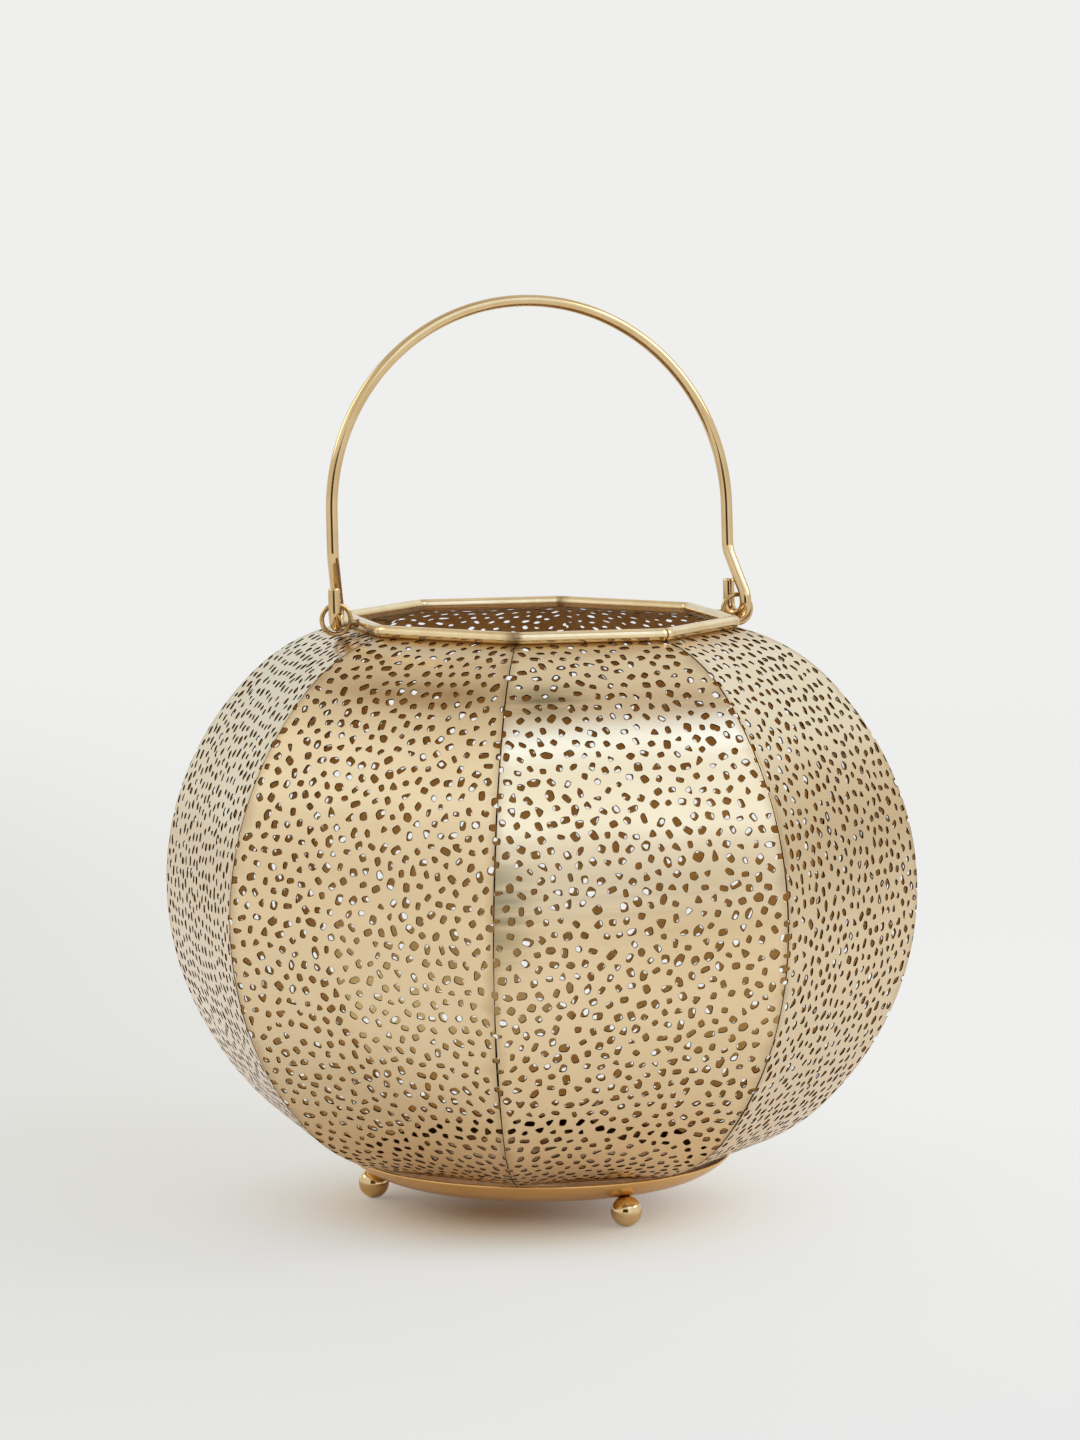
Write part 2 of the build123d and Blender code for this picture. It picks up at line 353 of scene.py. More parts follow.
class Finish:
    """The nodes of a material or of the room, under way."""

    def __init__(self, owner):
        self.owner = owner
        owner.use_nodes = True
        self.tree = owner.node_tree
        self.tree.nodes.clear()

    def node(self, kind, settings, sockets, out=0):
        """Add a node: settings first, then values or links of its sockets. Gives one output."""
        node = self.tree.nodes.new("ShaderNode" + kind)
        for name, value in settings.items():
            setattr(node, name, value)
        for name, value in sockets.items():
            if isinstance(value, Field):
                self.tree.links.new(value.socket, node.inputs[name])
            else:
                node.inputs[name].default_value = value
        return Field(self, node.outputs[out]) if node.outputs else None

    def vector(self, operation, first, second, out=0):
        return self.node("VectorMath", {"operation": operation}, {0: first, 1: second}, out)

    def mix(self, share, low, high):
        """Blend two colours."""
        low, high = (value if isinstance(value, Field) else (*value, 1.0) for value in (low, high))
        return self.node("Mix", {"data_type": "RGBA"}, {0: share, 6: low, 7: high}, out=2)

    def place(self):
        """Where a point is on the object, in metres."""
        return self.node("TexCoord", {}, {}, out=3)

    def uv(self, name):
        return self.node("UVMap", {"uv_map": name}, {})

    def attribute(self, name):
        return self.node("Attribute", {"attribute_name": name}, {}, out=2)

    def noise(self, vector, scale=1.0, detail=2.0, roughness=0.5):
        sockets = {"Vector": vector, "Scale": scale, "Detail": detail, "Roughness": roughness}
        return self.node("TexNoise", {"noise_dimensions": "3D"}, sockets)

    def streaks(self, uv, across, along, roughness=0.6):
        """Noise drawn out over a flat layout, with a scale for each way."""
        drawn_out = self.vector("MULTIPLY", uv, (across, along, 1))
        return self.noise(drawn_out, detail=3, roughness=roughness)

    def patches(self, scale, detail=4, roughness=0.6):
        """Noise all over the object."""
        return self.noise(self.place(), scale, detail, roughness)

    def bump(self, height, distance, strength=1.0):
        return self.node("Bump", {}, {"Height": height, "Distance": distance, "Strength": strength})

    def matt(self, colour):
        """Shader of a dull surface."""
        sockets = {"Base Color": colour, "Roughness": 0.9, "Specular IOR Level": 0.1}
        return self.node("BsdfPrincipled", {}, sockets)

    def done(self, shader, kind="Material"):
        """Finish off with a shader."""
        self.node("Output" + kind, {}, {"Surface": shader})
        return self.owner

    def metal(self, colour, roughness, normal=None):
        """Finish off as bare metal."""
        sockets = {"Base Color": colour, "Metallic": 1.0, "Roughness": roughness}
        if normal:
            sockets["Normal"] = normal
        return self.done(self.node("BsdfPrincipled", {}, sockets))


def new_finish(name):
    return Finish(bpy.data.materials.new(name))


def sheet_finish():
    """Satin sheet, brushed across the gore, with brown tarnish along the seams, tarnish and painted
    shade at both ends, painted reflections, and dirt and painted shade in the seam gaps.
    """
    finish = new_finish("brushed_sheet_brass")
    flat = finish.uv("flat")
    fine = finish.streaks(flat, *fine_brush)
    broad = finish.streaks(flat, *broad_brush, roughness=0.55)
    patches = finish.patches(26)
    blotches = finish.patches(95, detail=3)
    dents = finish.patches(24, detail=1.5, roughness=0.4)
    soil = finish.attribute("soil")
    worn = finish.attribute("worn")
    gap_grime_and_shade = finish.attribute("grime")
    warmth = patches.between(0.38, 0.68) * 0.5 + (broad - 0.5) * 0.4 + (blotches - 0.5) * 0.3
    # Brown tarnish, with painted shade towards the ends and painted reflections in some of the
    # brown marks
    tarnish_and_shade_share = (soil * (0.45 + 0.9 * blotches) * 0.8).clamp()
    # Painted dark reflections, streaked along the brushing
    reflection_level = (finish.attribute("smear") * (broad.between(0.33, 0.6) * 0.85 + fine * 0.6)).clamp()
    colour = finish.mix(warmth.clamp(), pale_brass, warm_brass)
    colour = finish.mix((blotches.between(0.55, 0.8) * 0.3).clamp(), colour, grey_brass)
    # Rosy painted reflection of the floor, towards the foot
    colour = finish.mix(finish.attribute("low"), colour, rosy_reflection_brass)
    colour = finish.mix(tarnish_and_shade_share, colour, brown_brass)
    colour = finish.mix(reflection_level, colour, dark_reflection_brass)
    colour = finish.mix(worn * 0.6, colour, pale_brass)
    # Dirt and painted shade in the seam gaps
    colour = finish.mix(gap_grime_and_shade, colour, grime)
    roughness = 0.13 + 0.08 * fine + 0.08 * patches + 0.12 * tarnish_and_shade_share + 0.12 * worn + 0.3 * gap_grime_and_shade
    height = dents + 0.01 * fine + 0.006 * broad
    return finish.metal(colour, roughness, finish.bump(height, dent_depth))


def inside_finish():
    """The inside of the gores, bare brass, not brushed, painted darker and browner as its shade."""
    finish = new_finish("bare_inside_brass")
    patches = finish.patches(40)
    colour = finish.mix(patches.between(0.3, 0.7), *shaded_inside_brass)
    return finish.metal(colour, 0.3 + 0.2 * patches)


def wire_finish(name, brass, rough):
    """Polished drawn wire, with fine lines along it and brown in the hollows."""
    finish = new_finish(name)
    drawn = finish.streaks(finish.uv("along"), *drawn_lines)
    patches = finish.patches(70)
    soil = finish.attribute("soil")
    colour = finish.mix(patches.between(0.35, 0.7), *brass)
    colour = finish.mix((soil * (0.5 + patches)).clamp(), colour, wire_brown)
    roughness = rough + 0.06 * drawn + 0.08 * patches.between(0.45, 0.75) + 0.25 * soil
    return finish.metal(colour, roughness, finish.bump(drawn, drawn_depth, 0.12))


def dish_finish():
    """Satin spun brass, with fine rings round the axis, and brown painted shade inside it below the
    lip.
    """
    finish = new_finish("spun_dish_brass")
    rings = finish.streaks(finish.uv("along"), *spun_lines)
    patches = finish.patches(45)
    soil = finish.attribute("soil")
    colour = finish.mix(patches.between(0.35, 0.7), *dish_brass)
    # Brown painted shade inside the dish
    colour = finish.mix((soil * (0.5 + patches)).clamp(), colour, brown_brass)
    roughness = 0.13 + 0.08 * rings + 0.1 * patches.between(0.4, 0.75)
    return finish.metal(colour, roughness, finish.bump(rings, spun_depth, 0.3))


def ball_finish():
    """Polished turned balls, a little scuffed, with brown painted shade on top where they meet the
    dish.
    """
    finish = new_finish("polished_ball_brass")
    patches = finish.patches(180, roughness=0.65)
    soil = finish.attribute("soil")
    colour = finish.mix(patches.between(0.35, 0.7), *ball_brass)
    # Painted shade on top, where the ball meets the dish
    colour = finish.mix(soil, colour, ball_shade_brown)
    return finish.metal(colour, 0.05 + 0.1 * patches.between(0.5, 0.8) + 0.2 * soil)


def screw_finish():
    """Turned screw heads, dulled."""
    finish = new_finish("turned_screw_brass")
    patches = finish.patches(400, detail=3)
    colour = finish.mix(patches, *screw_brass)
    return finish.metal(colour, 0.25 + 0.2 * patches)


# Mesh makers


def piece(name, points, faces, finishes, body, node=None):
    """A smooth mesh that rides on a body and takes the place of a solid."""
    mesh = bpy.data.meshes.new(name)
    mesh.from_pydata(points, [], faces)
    mesh.polygons.foreach_set("use_smooth", [True] * len(faces))
    for finish in finishes:
        mesh.materials.append(finish)
    made = bpy.data.objects.new(name, mesh)
    bpy.context.scene.collection.objects.link(made)
    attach(made, body)
    if node:
        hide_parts(node)
    return made


def paint(made, name, values):
    """Store one number for each point of a mesh."""
    made.data.attributes.new(name, "FLOAT", "POINT").data.foreach_set("value", values)


def lay_uv(made, name, spots):
    """Store a flat place for each point of a mesh."""
    mesh = made.data
    corners = np.empty(len(mesh.loops), dtype=np.int32)
    mesh.loops.foreach_get("vertex_index", corners)
    layer = mesh.uv_layers.new(name=name)
    layer.data.foreach_set("uv", np.asarray(spots, dtype=np.float32)[corners].ravel())


def fade(gap, reach):
    """1 at no distance, down to 0 at the end of a reach."""
    return max(0.0, 1 - gap / reach)


# Gores


class GoreCurve:
    """A gore seen from the side: three arcs in one smooth run, measured from the lip upwards."""

    def __init__(self):
        lip_height = rim_height - rim_rise
        lip_radius = dish_edge_radius - dish_thickness * sin(dish_lean)
        foot = np.array([lip_radius * cos(half_side), lip_height + sheet_thickness - seat_depth])
        top = np.array([rim_radius, rim_height - rod_radius + seat_depth])
        belly = np.array([belly_radius - belly_arc_radius, lip_height + belly_rise])
        self.centres, self.radii = [], []
        angles = []
        for side, end in ((-1, foot), (1, top)):
            out = np.array([cos(belly_half_angle), side * sin(belly_half_angle)])
            start = belly + out * belly_arc_radius
            chord = end - start
            radius = chord @ chord / (-2 * chord @ out)
            centre = start - out * radius
            self.centres.append(centre)
            self.radii.append(radius)
            angles.append(atan2(*(end - centre)[::-1]))
        self.centres.insert(1, belly)
        self.radii.insert(1, belly_arc_radius)
        turns = [angles[0], -belly_half_angle, belly_half_angle, angles[1]]
        lengths = [r * (b - a) for r, a, b in zip(self.radii, turns, turns[1:])]
        marks = [0, *np.cumsum(lengths)]
        self.length = marks[-1]
        # A metre of the end arcs is added at both ends, for the tuck and the hem
        self.marks = [marks[0] - 1, *marks, marks[-1] + 1]
        self.turns = [turns[0] - 1 / self.radii[0], *turns, turns[-1] + 1 / self.radii[2]]

    def at(self, along, depth=0.0):
        """Radius, height and slope of the sheet, so far along it and so deep under its face."""
        along = np.asarray(along, dtype=float)
        turn = np.interp(along, self.marks, self.turns)
        which = np.where(turn < -belly_half_angle, 0, np.where(turn > belly_half_angle, 2, 1))
        centres, radii = np.array(self.centres)[which], np.array(self.radii)[which] - depth
        return centres[..., 0] + radii * np.cos(turn), centres[..., 1] + radii * np.sin(turn), turn


curve = GoreCurve()


def half_width(along):
    """Half the width of a gore, up to the middle of its seams."""
    return curve.at(along)[0] * tan(half_side)


def pitch_at(along):
    """Spacing of the piercing, finer near the foot."""
    return pierce_pitch * (fine_share + (1 - fine_share) * np.clip(along / fine_reach, 0, 1))


def hole_places(draw):
    """Middles of a gore's holes, a loose net that is then evened out, and the room round each."""
    places, along, row = [], first_row, 0
    while along < curve.length - last_row:
        pitch = pitch_at(along)
        reach = int(half_width(along) / pitch) + 2
        for step in range(-reach, reach + 1):
            across = (step + row % 2 / 2 + draw.uniform(-1, 1) * pierce_wander) * pitch
            places.append((across, along + draw.uniform(-1, 1) * pierce_wander * pitch))
        along += pitch * sin(pi / 3)
        row += 1
    places = np.array(places)
    for _ in range(pierce_rounds + 1):
        places[:, 1] = np.clip(places[:, 1], first_row, curve.length - last_row)
        apart = places[:, None] - places
        distance = np.linalg.norm(apart, axis=2) + np.eye(len(places))
        push = np.clip(pierce_apart * pitch_at(places[:, 1]) - distance, 0, None) / distance
        room = np.sort(distance, axis=1)[:, :pierce_neighbours].mean(1)
        settled = places.copy()
        places += pierce_ease * (apart * push[..., None]).sum(1)
    return settled, room


def pierced_hole(draw, room):
    """Outline of one hole: a lopsided shape of three to five corners, which are cut off twice."""
    corners = draw.choice(hole_corners)
    size = room * draw.uniform(*pierce_share) * (three_corner_gain if corners == 3 else 1.0)
    stretch = sqrt(draw.uniform(1, pierce_stretch))
    turn = draw.uniform(0, 2 * pi)
    points = []
    for corner in range(corners):
        angle = 2 * pi * (corner + 0.5 + draw.uniform(-corner_wander, corner_wander)) / corners
        reach = size * draw.uniform(*corner_reach)
        x, y = reach * cos(angle) * stretch, reach * sin(angle) / stretch
        points.append((x * cos(turn) - y * sin(turn), x * sin(turn) + y * cos(turn)))
    points = np.array(points)
    for cut in corner_cuts:
        after = np.roll(points, -1, axis=0)
        ends = [points * (1 - cut) + after * cut, points * cut + after * (1 - cut)]
        points = np.stack(ends, 1).reshape(-1, 2)
    return points


def outward(points):
    """Unit vectors that point out of a closed outline, one at each of its points."""
    run = np.roll(points, -1, axis=0) - np.roll(points, 1, axis=0)
    run /= np.linalg.norm(run, axis=1)[:, None]
    return np.stack([run[:, 1], -run[:, 0]], 1)


def crowded(outline, placed):
    """Whether an outline comes too near to one of those placed just before it."""
    for other in placed[-recent_holes:]:
        apart = outline[:, None] - other[None]
        if (apart**2).sum(2).min() < (pierce_web + 2 * pierce_roll) ** 2:
            return True
    return False


def nibble(side, middle, depth, half):
    """The bite that a seam takes out of a hole, as points in from the edge of the gore."""
    along = middle + half * np.array(nibble_shares)
    return np.stack([side * (half_width(along) - depth * nibble_depths), along], 1)


def gore_plan(draw, gaps):
    """A gore laid flat: its outline, nibbled where the piercing crosses a seam, how far each point
    of that is set back from the seam, and the holes inside it."""
    low, high = -gore_tuck, curve.length + gore_hem
    waves = [(draw.uniform(*edge_wave_rates), draw.uniform(0, 2 * pi)) for _ in range(edge_waves)]
    holes, placed, nibbles = [], [], {1: [], -1: []}
    for middle, spare in zip(*hole_places(draw)):
        shape = pierced_hole(draw, spare)
        room = half_width(middle[1]) - abs(middle[0])
        side = 1 if middle[0] > 0 else -1
        if room < nibble_reach:
            depth, half = room + nibble_size, np.ptp(shape[:, 1]) / 2
            if depth > nibble_least:
                bite = nibble(side, middle[1], depth, half)
                if bite[0, 1] > low and bite[-1, 1] < high and not crowded(bite, placed):
                    placed.append(bite)
                    nibbles[side].append((middle[1], half, bite))
            continue
        for shrink in hole_shrinks:
            outline = shape * shrink + middle
            limits = half_width(outline[:, 1]) - gaps[side] - pierce_web - pierce_roll
            if np.all(np.abs(outline[:, 0]) < limits) and not crowded(outline, placed):
                holes.append(outline)
                placed.append(outline)
                break

    def edge(side):
        """One long edge of the gore, from the foot up, with its set-back."""
        spots = [bite for _, _, bite in nibbles[side]]
        for along in np.linspace(low, high, ceil((high - low) / edge_step) + 1):
            if all(abs(along - middle) > half + pierce_web for middle, half, _ in nibbles[side]):
                spots.append(np.array([[side * half_width(along), along]]))
        spots = np.concatenate(spots)
        spots = spots[np.argsort(spots[:, 1])]
        wave = sum(np.sin(spots[:, 1] * rate + phase + side) for rate, phase in waves) / len(waves)
        return np.column_stack([spots, side * gaps[side] * (edge_mean + edge_swing * wave)])

    right, left = edge(1), edge(-1)
    ends = []
    for start, stop in ((right[-1], left[-1]), (left[0], right[0])):
        count = ceil(abs(stop[0] - start[0]) / edge_step)
        ends.append(np.linspace(start, stop, count + 1)[1:-1])
    outline = np.concatenate([right, ends[0], left[::-1], ends[1]])
    return outline[:, :2], outline[:, 2], holes


def gore_marks_and_painted_light(number, across, along):
    """Tarnish of a gore with painted shade towards its ends, its rosy painted reflection of the
    floor, and its painted dark reflections, at places across and along it.
    """
    room = half_width(along) - np.abs(across)
    near_seam = np.clip(1 - room / seam_soil, 0, 1) ** seam_fade
    # Towards the foot and the rim this is tarnish and painted shade
    near_foot = np.clip(1 - (along - end_tarnish_and_shade) / foot_tarnish_and_shade, 0, 1) ** foot_fade
    near_rim = np.clip(1 - (curve.length - along - end_tarnish_and_shade) / rim_tarnish_and_shade, 0, 1) ** rim_fade

    def marked(marks):
        """The marks of one kind on this gore."""
        level = np.zeros_like(along)
        for which, x, y, wide, tall, strength in marks:
            if which == number:
                far = ((across - x) / wide) ** 2 + ((along - y) / tall) ** 2
                level += strength * np.exp(-far)
        return np.clip(level, 0, 1)

    # Seam tarnish, tarnish and painted shade at the ends, and brown marks that are partly painted
    # reflections
    soil = np.clip(near_seam * seam_level + near_foot + near_rim + marked(stains_and_painted_reflections), 0, 1)
    # low: the rosy painted reflection of the floor, fading up from the foot
    return {"soil": soil, "low": np.clip(1 - along / rosy_reflection_reach, 0, 1), "smear": marked(painted_dark_reflections)}


def gore(number, finishes):
    """One gore: the pierced sheet with rolled hole edges, its inside, and its cut edges."""
    gaps = {1: seam_gaps[number % gore_count], -1: seam_gaps[number - 1]}
    seam, set_back, holes = gore_plan(Random(gore_seed + number), gaps)
    outline = seam - np.stack([set_back, np.zeros_like(set_back)], 1)
    side_out = outward(outline)
    hole_loops = [hole + outward(hole) * pierce_roll for hole in holes]
    loops = [outline - side_out * edge_roll, *hole_loops]
    starts = np.cumsum([0] + [len(loop) for loop in loops])
    flat = np.concatenate(loops)
    borders = [list(range(a, b)) for a, b in zip(starts, starts[1:])]
    edges = [(loop[n - 1], loop[n]) for loop in borders for n in range(len(loop))]
    net = delaunay_2d_cdt([Vector(p) for p in flat], edges, borders, 0, net_tolerance)
    points, faces, inside = net[0], net[2], net[5]
    if len(points) != len(flat):
        raise SystemExit(f"gore {number}: the piercing crosses itself")
    sheet = [face for face, owners in zip(faces, inside) if owners == [0]]
    edge_count, hole_count = len(outline), len(flat) - len(outline)
    cut = np.concatenate(holes)
    into = -np.concatenate([outward(hole) for hole in holes])

    def laid(spots, depth):
        """Points of the flat plan bent to the curve, and the ways out of and up the sheet."""
        radius, height, turn = curve.at(spots[:, 1], depth)
        place = np.stack([radius, spots[:, 0], height], 1)
        out = np.stack([np.cos(turn), np.zeros_like(turn), np.sin(turn)], 1)
        up = np.stack([-np.sin(turn), np.zeros_like(turn), np.cos(turn)], 1)
        return place, out, up

    def bent(flat_vectors, up):
        """Directions in the flat plan, bent to the curve."""
        return flat_vectors[:, :1] * np.array([[0, 1, 0]]) + flat_vectors[:, 1:] * up

    # Its parts: face, rolled hole edges, hole walls, inside, rolled outer edge, and both lines of
    # the cut outer edge
    face_place, face_out, _ = laid(flat, 0)
    roll_place, roll_out, roll_up = laid(cut, pierce_sink)
    hole_in = bent(into, roll_up)
    roll_normal = roll_out * cos(roll_tilt) + hole_in * sin(roll_tilt)
    wall_place, _, _ = laid(cut, skin)
    mitred = seam.copy()
    mitred[:, 0] -= np.sign(seam[:, 0]) * skin * np.cos(curve.at(seam[:, 1])[2]) * tan(half_side)
    back_flat = np.concatenate([mitred, cut])
    back_place, back_out, _ = laid(back_flat, skin)
    edge_place, edge_out, edge_up = laid(outline, edge_sink)
    side_normal = bent(side_out, edge_up)
    edge_normal = edge_out * cos(edge_tilt) + side_normal * sin(edge_tilt)
    side_back = back_place[:edge_count]
    places = [face_place, roll_place, wall_place, back_place, edge_place, edge_place, side_back]
    normals = [face_out, roll_normal, hole_in, -back_out, edge_normal, side_normal, side_normal]
    spots = np.concatenate([flat, cut, cut, back_flat, outline, outline, outline])
    worn = (0, 1, 0.8, 0, 1, 0, 0)
    # Dirt and painted shade on the cut edges that face the seam gaps
    grimy_and_shaded = (0, 0, 0, 0, 0, 1, 1)
    counts = [len(part) for part in places]
    base = np.cumsum([0] + counts)

    def band(near_a, near_b, far_a, far_b):
        """Faces between two loops."""
        return zip(near_b.tolist(), near_a.tolist(), far_a.tolist(), far_b.tolist())

    rings = [(np.array(loop), np.roll(loop, -1)) for loop in borders]
    faces = [tuple(face) for face in sheet]
    for here, after in rings[1:]:
        cut_a, cut_b = base[1] + here - edge_count, base[1] + after - edge_count
        faces += band(here, after, cut_a, cut_b)
        faces += band(cut_a, cut_b, cut_a + hole_count, cut_b + hole_count)
    here, after = rings[0]
    faces += band(here, after, base[4] + here, base[4] + after)
    inside_start = len(faces)
    faces += [tuple(base[3] + i for i in reversed(face)) for face in sheet]
    inside_end = len(faces)
    faces += band(base[5] + here, base[5] + after, base[6] + here, base[6] + after)

    turn = np.array(Matrix.Rotation(2 * half_side * (number - 1), 3, "Z"))
    place = np.concatenate(places) @ turn.T
    normal = np.concatenate(normals) @ turn.T
    name, node = f"pierced_gore_{number}", f"gore_panel_{number}"
    made = piece(name, place.tolist(), faces, finishes, "lantern", node)
    slots = np.zeros(len(faces), dtype=np.int32)
    slots[inside_start:inside_end] = 1
    made.data.polygons.foreach_set("material_index", slots)
    lay_uv(made, "flat", spots + np.multiply(brush_shift, number))
    for kind, levels in gore_marks_and_painted_light(number, *spots.T).items():
        paint(made, kind, levels)
    for kind, levels in (("worn", worn), ("grime", grimy_and_shaded)):
        paint(made, kind, np.repeat(np.array(levels, dtype=float), counts))
    made.data.normals_split_custom_set_from_vertices(normal.tolist())


# Tubes and turned pieces


def tube(name, path, radii, finishes, body, node, soil=None):
    """A round wire along a path of points, closed at both ends."""
    path = [Vector(p) for p in path]
    count = len(path)
    runs = [(path[min(n + 1, count - 1)] - path[max(n - 1, 0)]).normalized() for n in range(count)]
    across = runs[0].orthogonal().normalized()
    points, spots, levels = [], [], []
    length = 0.0
    for n, (spot, run) in enumerate(zip(path, runs)):
        across = (across - run * across.dot(run)).normalized()
        other = run.cross(across)
        length += (spot - path[n - 1]).length if n else 0.0
        for side in range(wire_sides + 1):
            angle = 2 * pi * side / wire_sides
            points.append(spot + (across * cos(angle) + other * sin(angle)) * radii[n])
            spots.append((side / wire_sides, length))
            levels.append(soil[n] if soil else 0.0)
    row = wire_sides + 1
    faces = [
        (n * row + s, n * row + s + 1, (n + 1) * row + s + 1, (n + 1) * row + s)
        for n in range(count - 1)
        for s in range(wire_sides)
    ]
    faces.append(tuple(reversed(range(wire_sides))))
    faces.append(tuple((count - 1) * row + s for s in range(wire_sides)))
    made = piece(name, [tuple(p) for p in points], faces, finishes, body, node)
    lay_uv(made, "along", spots)
    paint(made, "soil", levels)


def turned(name, outline, steps, matrix, finishes, node, soil):
    """A piece turned about its own axis, from radii and heights that start and end on the axis."""
    points, spots, levels, rows = [], [], [], []
    length = 0.0
    for n, (radius, height) in enumerate(outline):
        if n:
            length += hypot(radius - outline[n - 1][0], height - outline[n - 1][1])
        around = steps if radius else 1
        rows.append(list(range(len(points), len(points) + around)))
        for step in range(around):
            angle = 2 * pi * step / steps
            spot = Vector((radius * cos(angle), radius * sin(angle), height))
            points.append(tuple(matrix @ spot))
            spots.append((abs(step / steps - 0.5), length))
            levels.append(soil[n])
    faces = []
    for low, high in zip(rows, rows[1:]):
        for step in range(steps):
            after = (step + 1) % steps
            if len(low) == 1:
                faces.append((low[0], high[after], high[step]))
            elif len(high) == 1:
                faces.append((low[step], low[after], high[0]))
            else:
                faces.append((low[step], low[after], high[after], high[step]))
    made = piece(name, points, faces, finishes, "lantern", node)
    lay_uv(made, "along", spots)
    paint(made, "soil", levels)


def standing(place, axis):
    """Where a turned piece stands, and which way its axis points."""
    return Matrix.Translation(place) @ axis.to_track_quat("Z", "Y").to_matrix().to_4x4()


def arc(centre, radius, start, end, steps):
    """Points along an arc in a plane."""
    angles = [start + (end - start) * n / steps for n in range(steps + 1)]
    return [(centre[0] + radius * cos(a), centre[1] + radius * sin(a)) for a in angles]


# Rim


def corner(number, side, gap):
    """A rod's share of its full thickness, and its tarnish, at a distance from a corner."""
    which = number if side > 0 else (number - 2) % gore_count + 1
    if which == open_corner:
        close = fade(gap, open_reach)
        swell = fade(abs(gap - swell_middle), swell_reach) if side > 0 else 0.0
        return 1 - open_pinch * close + swell_gain * swell, close
    kink = fade(gap, kink_reach)
    burn = fade(gap, burn_before if side > 0 else burn_after)
    return 1 - kink_pinch * kink, corner_burns[which] * burn


def rim_rod(number, finishes):
    """One side of the rim, bent round half of the corner at each end."""
    inset = rim_radius - rim_bend
    reach = inset * tan(half_side)
    half = [(rim_radius, reach * share) for share in rim_shares]
    half += arc((inset, reach), rim_bend, 0, half_side, rim_bend_steps)
    outline = [(x, -y) for x, y in reversed(half[1:])] + half
    turn = Matrix.Rotation(2 * half_side * (number - 1), 3, "Z")
    path = [turn @ Vector((x, y, rim_height)) for x, y in outline]
    end = half[-1][1]
    shares, soil = zip(*(corner(number, y, end - abs(y)) for _, y in outline))
    radii = [rod_radius * share for share in shares]
    name, node = f"rim_bead_{number}", f"rim_rod_{number}"
    tube(name, path, radii, finishes, "lantern", node, soil)


# Dish and feet


def dish(finishes):
    """The spun dish, with a rounded lip."""
    middle = (dish_floor_radius, dish_under + dish_wall)
    low, high = -pi / 2, -pi / 2 + dish_lean
    tip = arc(middle, dish_wall - dish_thickness / 2, high, high, 1)[0]
    outline = [(radius, dish_under) for radius in dish_floor_rings]
    outline += arc(middle, dish_wall, low, high - lip_start, dish_wall_steps)
    outline += arc(tip, dish_thickness / 2, high + lip_trim, high + pi - lip_trim, lip_steps)
    # Painted shade: dark on the upper inner wall below the lip, lighter further in
    soil = [0.0] * len(outline) + [dish_wall_shade] * (dish_wall_steps // 2)
    outline += arc(middle, dish_wall - dish_thickness, high - lip_start, low, dish_wall_steps)
    outline += [(radius, dish_under + dish_thickness) for radius in reversed(dish_floor_rings)]
    soil += [dish_floor_shade] * (len(outline) - len(soil))
    still = Matrix.Identity(4)
    turned("spun_dish", outline, dish_sides, still, finishes, "base_dish", soil)


def foot(number, finishes):
    """A ball foot, with its poles on the line of its screw."""
    name, node = f"ball_foot_{number}", f"foot_ball_{number}"
    low, high = (Vector(corner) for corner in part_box(node))
    radius = (high.x - low.x) / 2
    middle = Vector(((low.x + high.x) / 2, (low.y + high.y) / 2, low.z + radius))
    around = Vector((middle.x, middle.y, 0)).normalized()
    wall_middle = around * dish_floor_radius + Vector((0, 0, dish_under + dish_wall))
    up = (wall_middle - middle).normalized()
    turns = [pi * n / ball_rows for n in range(1, ball_rows)]
    outline = [(0, -radius), *((radius * sin(a), -radius * cos(a)) for a in turns), (0, radius)]
    # Painted shade on top of the ball, where it meets the dish
    heights = [height / radius for _, height in outline]
    soil = [max(0.0, (share - ball_shade_start) / (1 - ball_shade_start)) for share in heights]
    turned(name, outline, ball_sides, standing(middle, up), finishes, node, soil)


# Rings and bail


def ring(name, side, finishes):
    """A wire ring, right or left."""
    points, faces, spots, levels = [], [], [], []
    for n in range(ring_steps):
        angle = 2 * pi * n / ring_steps
        here, after = n * ring_sides, (n + 1) % ring_steps * ring_sides
        for s in range(ring_sides):
            turn = 2 * pi * s / ring_sides
            reach = ring_radius + ring_wire / 2 * cos(turn)
            x, z = ring_x + reach * cos(angle), ring_height + reach * sin(angle)
            points.append((side * x, ring_wire / 2 * sin(turn), z))
            spots.append((s / ring_sides, abs(n / ring_steps - 0.5) * 2 * pi * ring_radius))
            levels.append(max(0.0, -cos(turn)) * ring_soil)
            beside = (s + 1) % ring_sides
            faces.append([here + s, after + s, after + beside, here + beside][::-side])
    made = piece(name, points, faces, finishes, "lantern", "bail_" + name)
    lay_uv(made, "along", spots)
    paint(made, "soil", levels)


def ring_stem(name, side, finishes):
    """The end of a ring's wire, brazed to the rim."""
    rod = Vector((side * rim_radius, 0, rim_height))
    middle = Vector((side * ring_x, 0, ring_height))
    reach = (middle - rod).length - ring_radius
    waist = stem_waist / 2
    # Radius, distance from the rod's middle, tarnish
    rows = [
        (0, 0.6 * rod_radius, 0),
        (waist + 0.5 * mm, 0.6 * rod_radius, 1),
        (waist + 0.4 * mm, 0.9 * rod_radius, 0.9),
        (waist + 0.15 * mm, rod_radius + 0.35 * mm, 0.7),
        (waist, rod_radius + 0.8 * mm, 0.4),
        (waist, reach - 0.5 * mm, 0.3),
        (waist - 0.15 * mm, reach, 0.6),
        (waist - 0.5 * mm, reach + 0.35 * mm, 0.6),
        (0, reach + 0.5 * mm, 0.6),
    ]
    outline, soil = [row[:2] for row in rows], [row[2] for row in rows]
    matrix = standing(rod, (middle - rod).normalized())
    turned(f"{name}_stem", outline, wire_sides, matrix, finishes, None, soil)


